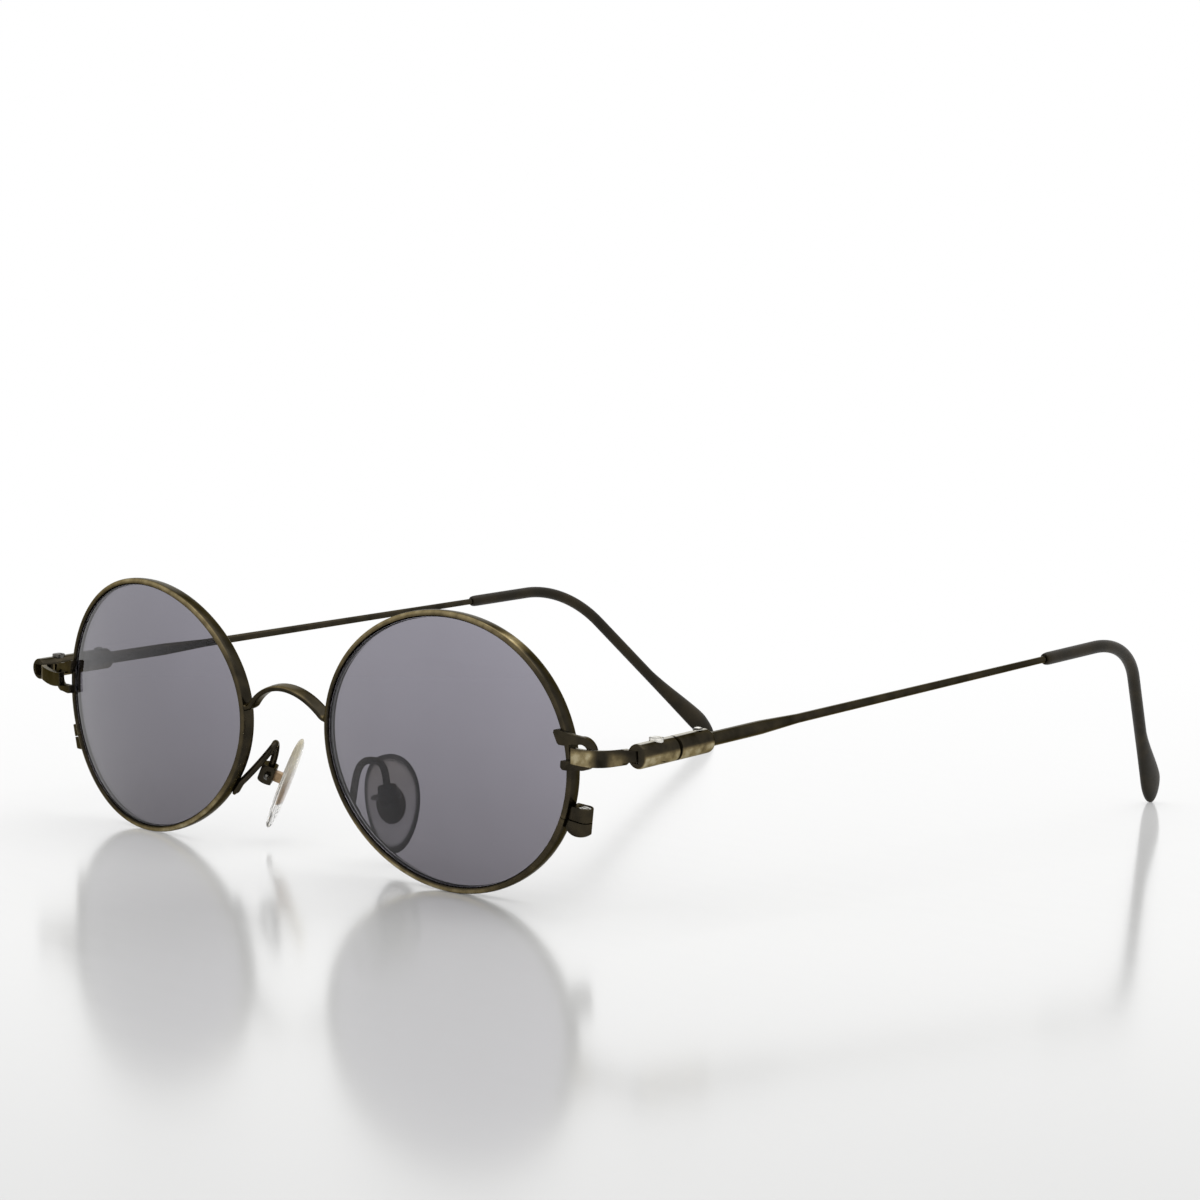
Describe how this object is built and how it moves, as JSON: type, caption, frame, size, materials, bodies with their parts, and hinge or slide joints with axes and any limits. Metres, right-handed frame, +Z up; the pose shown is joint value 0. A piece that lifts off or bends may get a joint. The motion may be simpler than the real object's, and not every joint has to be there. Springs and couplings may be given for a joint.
{
  "type": "oval sunglasses",
  "caption": "Oval wire-frame sunglasses: full rims, smoke lenses, saddle bridge, adjustable nose pads and folding spring-hinged temples with curved ear tips",
  "frame": {"origin": "on the table, at the middle of the open glasses' width and length", "axes": "+X the wearer's left, the front faces -Y and the temples run to +Y, +Z up"},
  "size_m": [0.1376, 0.1332, 0.0373],
  "materials": {
    "antique_bronze": "dark antique bronze plating, satin",
    "rubbed_brass": "antique plating rubbed back to brass on the high sides",
    "screw_metal": "turned and slotted, lightly worn",
    "spring_steel": "drawn wire",
    "smoke_lens": "smoke grey, polished",
    "clear_pad": "soft clear pad, slightly yellowed",
    "pad_core_metal": "warm tan plate under the clear pad",
    "dark_tip": "dark brown polished acetate"
  },
  "bodies": {
    "front": {"bridge": "antique_bronze", "left_rim": "antique_bronze", "right_rim": "antique_bronze", "left_lens": "smoke_lens", "right_lens": "smoke_lens", "left_closing_block_upper": "antique_bronze", "right_closing_block_upper": "antique_bronze", "left_closing_block_lower": "antique_bronze", "right_closing_block_lower": "antique_bronze", "left_closing_screw": "screw_metal", "right_closing_screw": "screw_metal", "left_end_loop": "antique_bronze", "right_end_loop": "antique_bronze", "left_end_strap": "rubbed_brass", "right_end_strap": "rubbed_brass", "left_pad_arm": "antique_bronze", "right_pad_arm": "antique_bronze", "left_pad_box": "antique_bronze", "right_pad_box": "antique_bronze", "left_pad_screw": "screw_metal", "right_pad_screw": "screw_metal"},
    "left_pad": {"left_pad_core": "pad_core_metal", "left_nose_pad": "clear_pad"},
    "right_pad": {"right_pad_core": "pad_core_metal", "right_nose_pad": "clear_pad"},
    "left_barrel": {"left_hinge_barrel": "rubbed_brass", "left_hinge_screw": "screw_metal", "left_plunger": "screw_metal", "left_hinge_spring": "spring_steel"},
    "right_barrel": {"right_hinge_barrel": "rubbed_brass", "right_hinge_screw": "screw_metal", "right_plunger": "screw_metal", "right_hinge_spring": "spring_steel"},
    "left_temple": {"left_spring_tube": "rubbed_brass", "left_tube_pin": "screw_metal", "left_temple": "antique_bronze", "left_temple_tip": "dark_tip"},
    "right_temple": {"right_spring_tube": "rubbed_brass", "right_tube_pin": "screw_metal", "right_temple": "antique_bronze", "right_temple_tip": "dark_tip"}
  },
  "joints": [
    {"name": "left_fold", "type": "hinge", "parent": "front", "child": "left_barrel", "pos_m": [0.067, -0.0583, 0.02125], "axis": [0, 0, 1], "range_deg": [0, 82]},
    {"name": "left_flex", "type": "slide", "parent": "left_barrel", "child": "left_temple", "axis": [-0.0522, 0.9964, 0.067], "range_m": [0, 0.001], "stiffness_N_per_m": 500, "springref_m": -0.0008, "deforming": ["left_hinge_spring"]},
    {"name": "left_pad_rock", "type": "hinge", "parent": "front", "child": "left_pad", "pos_m": [0.01401, -0.05762, 0.01001], "axis": [0.6504, 0.7424, 0.161], "range_deg": [-8, 8]},
    {"name": "right_fold", "type": "hinge", "parent": "front", "child": "right_barrel", "pos_m": [-0.067, -0.0583, 0.02125], "axis": [0, 0, -1], "range_deg": [0, 77]},
    {"name": "right_flex", "type": "slide", "parent": "right_barrel", "child": "right_temple", "axis": [0.0522, 0.9964, 0.067], "range_m": [0, 0.001], "stiffness_N_per_m": 500, "springref_m": -0.0008, "deforming": ["right_hinge_spring"]},
    {"name": "right_pad_rock", "type": "hinge", "parent": "front", "child": "right_pad", "pos_m": [-0.01401, -0.05762, 0.01001], "axis": [-0.6504, 0.7424, 0.161], "range_deg": [-8, 8]}
  ]
}
